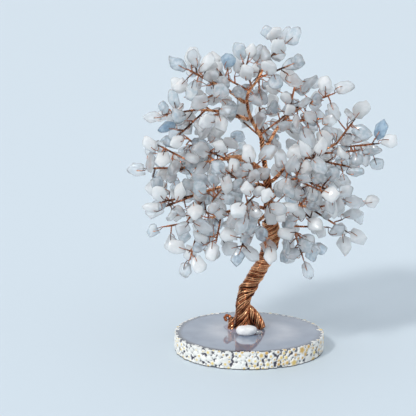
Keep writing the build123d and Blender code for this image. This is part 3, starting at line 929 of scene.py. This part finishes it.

# %% [markdown]
# ## More chips
# The CAD model holds as many stones as its limit of faces allows. The real crown holds more stones
# than the CAD model, so more chips go on the same sprigs and limbs wherever there is room. Spheres
# stand for all that is there already, each kept in three places: at rest, and with its limb's fork
# at either end of its range.
# For each place on a wire several ways round it are tried. A way counts only if the chip stays clear
# at rest and at those ends, and ways that show the chip's broad face are favoured. The trunk, the
# leader and the left limb are seen bare from the front, so the room before them counts as taken.

# %% Room in the crown
def around(axis, vectors, angle):
    """Vectors turned round an axis."""
    lengthwise = axis * (vectors @ axis)[..., None] if vectors.ndim > 1 else axis * (vectors @ axis)
    turned = vectors * math.cos(angle) + np.cross(axis, vectors) * math.sin(angle)
    return turned + lengthwise * (1 - math.cos(angle))


def swung(points, owner, end):
    """Where a limb's points go when its fork is at one end of its range."""
    fork = forks.get(f"{limb_names[owner]}_limb") if owner >= 0 else None
    if fork is None:
        return points
    pivot = np.array(fork["pos_m"])
    return pivot + around(unit(np.array(fork["axis"])), points - pivot, math.radians(fork["range_deg"][end]))


class Room:
    """What is taken in the crown: spheres, each with its limb's number and its places at both fork ends."""

    def __init__(self):
        self.rows = np.empty((0, 11))

    def take(self, spheres, owner):
        """Add spheres of one owner."""
        spheres = np.array(spheres)
        ends = [swung(spheres[:, :3], owner, end) for end in (0, 1)]
        self.rows = np.vstack([self.rows, np.column_stack([spheres, np.full(len(spheres), owner), *ends])])

    def near(self, spot, reach):
        """The spheres near a spot."""
        return self.rows[np.linalg.norm(self.rows[:, :3] - spot, axis=1) < reach]


crown_room = Room()


def spheres_along(start, end, size):
    """Spheres along a straight wire."""
    count = max(2, int(np.linalg.norm(end - start) / (1.2 * MM)))
    return [(*(start + (end - start) * share), size) for share in np.linspace(0, 1, count)]


def seat_spheres(seat):
    """Spheres that fill a twig and its chip."""
    rows = spheres_along(seat.root + (seat.bend - seat.root) * 0.4, seat.bend, 0.6 * MM)
    rows.append((*seat.middle, 0.5 * seat.depth))
    for x, y in seat.rim:
        rows.append((*seat.place(0.5 * x, 0.5 * y, 0), 0.47 * seat.depth))
        rows.append((*seat.place(0.8 * x, 0.8 * y, 0), 0.3 * seat.depth))
    return rows


stems = {}
for number, limb in enumerate(limb_names):
    stem = ring_middles(*solids_of(f"{limb}_limb_stem")[0], 2.6 * MM)
    fork = forks.get(f"{limb}_limb")
    pivot = np.array(fork["pos_m"]) if fork else stem[np.argmin(stem[:, 2])]
    if np.linalg.norm(stem[-1] - pivot) < np.linalg.norm(stem[0] - pivot):
        stem = stem[::-1]
    stem[0] = pivot
    stems[limb] = stem
    for i, (start, end) in enumerate(sprig_lines[limb]):
        gaps = [np.linalg.norm(evenly(stem, MM) - point, axis=1).min() for point in (start, end)]
        sprig_lines[limb][i] = (start, end) if gaps[0] < gaps[1] else (end, start)
    rows = [row for a, b in zip(stem, stem[1:]) for row in spheres_along(a, b, 1.5 * MM)]
    rows += [row for a, b in sprig_lines[limb] for row in spheres_along(a, b, 1.0 * MM)]
    rows += [row for seat in seats[limb] for row in seat_spheres(seat)]
    crown_room.take(rows, number)
for line, size in ((trunk_line, 5.6), (upper_line, 3.3), (leader_line, 2.1)):
    crown_room.take([(*point, size * MM) for point in line[::2]], -1)
bare_wires = [*leader_line[::3], *upper_line[::3], *evenly(stems["left"], 1.5 * MM)[:14]]
bare = [(point, 2.5 * MM) for point in bare_wires]
bare += [(point, 5 * MM) for point in trunk_line[::4]]
towards_viewer = unit(np.array(camera.location) - upper_line[-1])
for point, size in bare:
    crown_room.take([(*(point + towards_viewer * step * MM), size) for step in range(4, 60, 3)], -2)
print("spheres in the crown", len(crown_room.rows))


# %% Seats for more chips
chip_reach, search_reach = 9 * MM, 32 * MM
room_at_rest, room_at_ends = 0.7 * MM, 0.6 * MM
ways_round, ways_turned = 16, 8


def new_seat(root, heading, face, cut):
    """A seat made like the CAD ones: the wire lies on the face and turns down through the chip."""
    length, width, depth, corners, lean, turn = cut
    tilt = math.radians(20)
    normal = face * math.cos(tilt) - heading * math.sin(tilt)
    along = heading * math.cos(tilt) + face * math.sin(tilt)
    side = np.cross(normal, along)
    bend = root + heading * chip_reach
    middle = bend - normal * (depth / 2 + 1.3 * MM)
    angles = FULL_TURN * (np.arange(corners) + turn) / corners
    x = length / 2 * np.cos(angles) + 0.1 * length
    y = width / 2 * np.sin(angles) * (1 - lean * np.cos(angles))
    rings = [middle + (along * x[:, None] + side * y[:, None]) * share + normal * height
             for share, height in ((0.62, -depth / 2), (1, 0), (0.62, depth / 2))]
    return Seat(root, bend, middle - normal * depth, np.concatenate(rings))


def least_gap(places, sizes, other_places, other_sizes):
    """The least gap between two lots of spheres."""
    apart = np.linalg.norm(places[:, None] - other_places[None], axis=2)
    return (apart - sizes[:, None] - other_sizes[None]).min(initial=1.0)


def clear_at_ends(seat, near, number):
    """True if a seat stays clear of other limbs with its fork, theirs or all at the ends of their ranges."""
    mine = np.array(seat_spheres(seat))
    others = near[(near[:, 4] != number) & (near[:, 4] > -2)]
    own = [mine[:, :3], swung(mine[:, :3], number, 0), swung(mine[:, :3], number, 1)]
    their = [others[:, :3], others[:, 5:8], others[:, 8:11]]
    pairs = ((1, 0), (2, 0), (0, 1), (0, 2), (1, 1), (2, 2))
    return all(least_gap(own[a], mine[:, 3], their[b], others[:, 3]) > room_at_ends for a, b in pairs)


def rest_gap(seat, near):
    """The least gap round a seat at rest."""
    mine = np.array(seat_spheres(seat))
    return least_gap(mine[:, :3], mine[:, 3], near[:, :3], near[:, 3])


def try_place(limb, number, spot, ahead, wire_radius):
    """Set one more chip at a place on a wire, if there is room for it."""
    cut = (chance.uniform(11.5, 17.5) * MM, chance.uniform(7.6, 11.4) * MM, chance.uniform(4.0, 5.6) * MM,
           chance.choice((4, 5, 6)), chance.uniform(-0.3, 0.5), chance.random())
    near = crown_room.near(spot, search_reach)
    first = unit(np.cross(ahead, (0.0, 0.0, 1.0) if abs(ahead[2]) < 0.95 else (1.0, 0.0, 0.0)))
    ways = []
    for spread in (math.radians(55), math.radians(85)):
        for roll in np.arange(ways_round) * FULL_TURN / ways_round:
            out = around(ahead, first, roll)
            lean = ahead * math.cos(spread) + out * math.sin(spread)
            face = ahead * math.sin(spread) - out * math.cos(spread)
            ways.append((spot + lean * wire_radius, lean, face))
    ways.sort(key=lambda way: -rest_gap(new_seat(*way, cut), near))
    for root, lean, face in ways[:3]:
        rolls = np.arange(ways_turned) * FULL_TURN / ways_turned
        turned = [new_seat(root, lean, around(lean, face, roll), cut) for roll in rolls]
        turned = [seat for seat in turned if rest_gap(seat, near) > room_at_rest]
        turned = [seat for seat in turned if clear_at_ends(seat, near, number)]
        if turned:
            seat = max(turned, key=lambda way: abs(way.normal[1]) + chance.uniform(0, 0.5))
            seats[limb].append(seat)
            crown_room.take(seat_spheres(seat), number)
            return


chance = random.Random(23)
from_cad = sum(map(len, seats.values()))
for share in (0.95, 0.7, 0.45):
    for number, limb in enumerate(limb_names):
        for start, end in sprig_lines[limb]:
            try_place(limb, number, start + (end - start) * share, unit(end - start), 0.9 * MM)
        line = evenly(stems[limb], 0.5 * MM)
        i = int((0.35 + 0.62 * share) * (len(line) - 2))
        try_place(limb, number, line[i], unit(line[i + 1] - line[i]), 1.3 * MM)
print("chips from the CAD", from_cad, "and more", sum(map(len, seats.values())) - from_cad)

# %% Sorts of chip
blue_sort = len(chip_finishes) - 1
blue_spots = np.array([(-18, 0, 201), (-59, 0, 159), (85, 0, 149)]) * MM
all_seats = [seat for limb in limb_names for seat in seats[limb]]
for seat in all_seats:
    seat.sort = chance.choices(range(len(chip_finishes)), chip_shares)[0]
for spot in blue_spots:
    nearest = min(all_seats, key=lambda seat: np.linalg.norm((seat.middle - spot) * (1, 0.4, 1)))
    nearest.sort = blue_sort
print("blue chips", sum(seat.sort == blue_sort for seat in all_seats))

# %% Lay the limbs
twig_wire_radius = 0.28 * MM
for number, limb in enumerate(limb_names):
    body = f"{limb}_limb" if f"{limb}_limb" in forks else "stand"
    stem = stems[limb]
    pivot = stem[0]
    spread = unit((stem[1] - pivot) * (1, 1, 0)) if body != "stand" else np.zeros(3)
    line = eased([pivot - spread * 2.6 * MM - (0, 0, 1.2 * MM), *stem], 0.7 * MM)
    work = Bench()
    share = travelled(line) / travelled(line)[-1]
    thinning = 1 - 0.42 * share
    if limb == "left":
        thinning = thinning + 0.75 * (1 - ease(share, 0.35, 0.6))
    strands = 6 if limb == "left" else 4
    limb_wire = 0.46 * MM * np.sqrt(thinning)
    laid_rope(work, line, strands, limb_wire, 0.95 * MM * thinning, math.radians(40), 20.0 + number)
    # The near-black tube under the strands is painted shade in the grooves.
    work.wire(line, 0.9 * MM * thinning, 8, SHADED_GROOVE)
    if limb == "left":
        bound = evenly(line[int(0.3 * len(line)):int(0.48 * len(line))], 0.2 * MM)
        work.wire(strand(bound, 1.95 * MM, 0.0, 1.3 * MM), 0.5 * MM, 6)
    stem_rope = work.lay(f"{limb}_limb_rope", rope_coppers, "copper_wire")
    if body == "stand":
        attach(stem_rope, "stand")
    else:
        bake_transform(stem_rope)
    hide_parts(f"{limb}_limb_stem")

    work = Bench()
    for start, end in sprig_lines[limb]:
        back = np.linalg.norm(line - start, axis=1).min() + 0.2 * MM
        ahead = unit(end - start)
        path = evenly([start - ahead * back, end + ahead * 0.4 * MM], 0.6 * MM)
        rope(work, path, 3, 0.36 * MM, 0.4 * MM, 4.5 * MM, 5)
    for seat in seats[limb]:
        work.wire(twig_wire(seat, twig_wire_radius, 1.2 * MM), twig_wire_radius, 5)
    twigs = work.lay(f"{limb}_limb_twisted_twigs", [twig_copper], "twig_wire")
    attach(twigs, body)
    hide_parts(f"{limb}_limb_twigs")

    work = Bench()
    tints = []
    for seat in seats[limb]:
        skin = chip_skin(seat, chance.uniform(0, 30))
        work.grid(skin, seat.sort)
        bright, cool = chance.uniform(0.93, 1.0), chance.uniform(-0.02, 0.03)
        tint = (bright - cool, bright, min(1, bright + cool), 1)
        tints.append(np.tile(tint, (skin.shape[0] * skin.shape[1], 1)))
    chips = work.lay(f"{limb}_limb_chips", chip_finishes, "gemstone")
    paint_points(chips, "chip_tint", np.concatenate(tints))
    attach(chips, body)
    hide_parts(f"{limb}_limb_stones")
print("limbs", len(limb_names))
